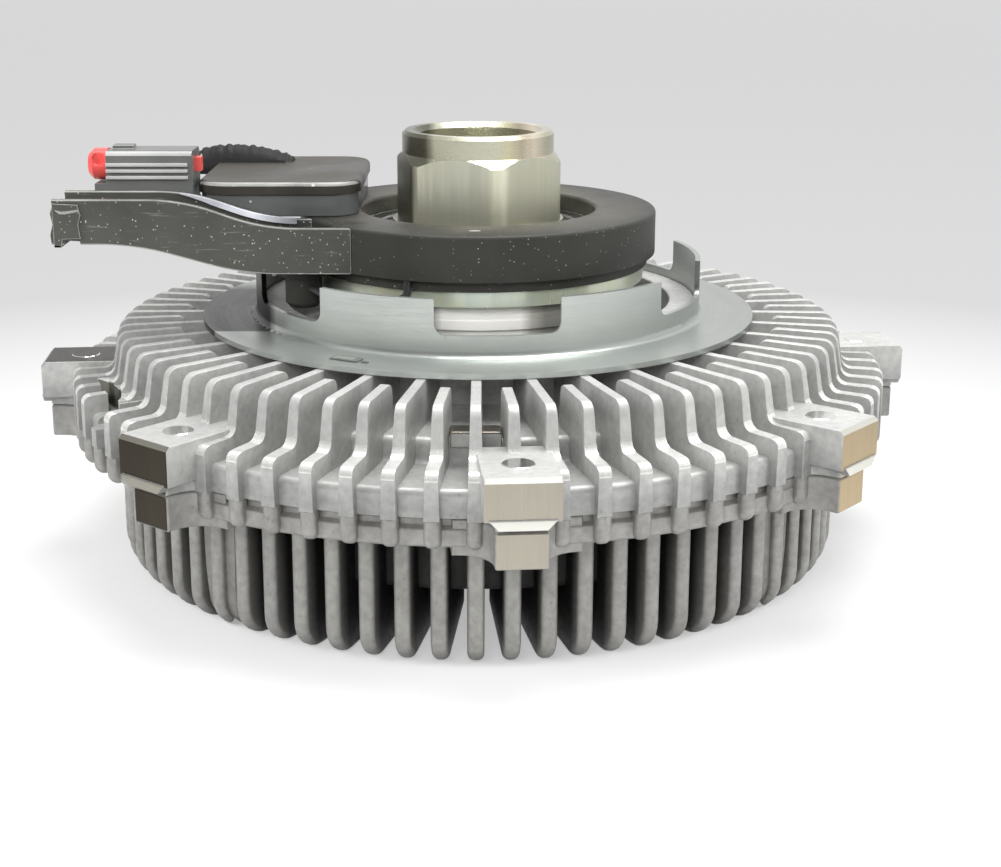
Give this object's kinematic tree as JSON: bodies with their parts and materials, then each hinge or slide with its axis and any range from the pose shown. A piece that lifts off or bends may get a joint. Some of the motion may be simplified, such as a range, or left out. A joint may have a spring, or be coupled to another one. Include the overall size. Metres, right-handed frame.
{
  "type": "viscous fan clutch",
  "caption": "Electronically controlled viscous fan clutch: finned two-part casing with fan ears, hex hub, toothed speed wheel and a still coil ring with tether arm.",
  "frame": {"origin": "on the axis of rotation, in the plane of the cover's fin tips that the part rests on", "axes": "+Z along the axis of rotation, from the fan side to the hub that screws onto the engine's pulley; the tether arm points along -X"},
  "size_m": [0.2092, 0.2092, 0.0997],
  "materials": {
    "cast_casing": "die-cast, as cast",
    "steel_screw": "zinc plated",
    "seal_rubber": "moulded",
    "turned_steel": "turned",
    "plated_sheet": "pressed and plated",
    "bearing_steel": "ground",
    "polished_steel": "polished",
    "cage_plastic": "moulded",
    "spring_steel": "blackened",
    "zinc_yellow": "yellow passivated zinc over a machined surface",
    "rotor_aluminium": "die-cast and turned",
    "zinc_cup": "yellow passivated zinc",
    "bobbin_plastic": "moulded",
    "copper_wire": "enamelled winding",
    "black_plastic": "glass-filled, satin",
    "cable_rubber": "smooth",
    "board_green": "lacquered",
    "connector_black": "satin",
    "lock_red": "moulded"
  },
  "bodies": {
    "housing": {"rear_housing": "cast_casing", "front_cover": "cast_casing", "cover_screws": "steel_screw", "rim_seal": "seal_rubber", "fill_plug": "steel_screw", "flux_ring": "turned_steel", "target_wheel": "plated_sheet", "main_bearing_outer": "bearing_steel", "main_bearing_seals": "seal_rubber", "bearing_circlip": "spring_steel"},
    "input_shaft": {"hub_shaft": "zinc_yellow", "main_bearing_inner": "bearing_steel", "rotor_disc": "rotor_aluminium", "reservoir_plate": "plated_sheet", "rotor_nut": "steel_screw", "valve_pin": "polished_steel", "coil_bearing_inner": "bearing_steel", "coil_bearing_circlip": "spring_steel"},
    "main_rolling_set": {"main_bearing_balls": "polished_steel", "main_bearing_cage": "cage_plastic"},
    "coil_rolling_set": {"coil_bearing_balls": "polished_steel", "coil_bearing_cage": "cage_plastic"},
    "valve": {"valve_armature": "turned_steel", "valve_pad": "seal_rubber"},
    "stator": {"stator_ring": "black_plastic", "coil_core": "zinc_cup", "coil_bobbin": "bobbin_plastic", "coil_winding": "copper_wire", "coil_bearing_outer": "bearing_steel", "coil_bearing_shields": "polished_steel", "speed_sensor": "black_plastic", "sensor_lead": "cable_rubber", "tether_arm": "black_plastic", "arm_harness": "cable_rubber", "arm_clip": "black_plastic", "connector_box": "black_plastic", "circuit_board": "board_green", "box_lid": "black_plastic", "pigtail": "cable_rubber", "connector_body": "connector_black"},
    "lock": {"connector_lock": "lock_red"}
  },
  "joints": [
    {"name": "shaft_spin", "type": "hinge", "parent": "housing", "child": "input_shaft", "pos_m": [0, 0, 0.048], "axis": [0, 0, 1], "continuous": true},
    {"name": "main_cage_spin", "type": "hinge", "parent": "housing", "child": "main_rolling_set", "pos_m": [0, 0, 0.048], "axis": [0, 0, 1], "continuous": true},
    {"name": "stator_swivel", "type": "hinge", "parent": "input_shaft", "child": "stator", "pos_m": [0, 0, 0.0723], "axis": [0, 0, 1], "continuous": true},
    {"name": "coil_cage_spin", "type": "hinge", "parent": "input_shaft", "child": "coil_rolling_set", "pos_m": [0, 0, 0.0723], "axis": [0, 0, 1], "continuous": true},
    {"name": "valve_tilt", "type": "hinge", "parent": "input_shaft", "child": "valve", "pos_m": [0, -0.0465, 0.0373], "axis": [1, 0, 0], "range_deg": [0, 2], "stiffness_Nm_per_rad": 0.05},
    {"name": "lock_slide", "type": "slide", "parent": "stator", "child": "lock", "axis": [-1, 0, 0], "range_m": [0, 0.003]}
  ],
  "couplings": [
    {"joint": "main_cage_spin", "follows": "shaft_spin", "ratio": 0.3965},
    {"joint": "coil_cage_spin", "follows": "stator_swivel", "ratio": 0.5618}
  ]
}
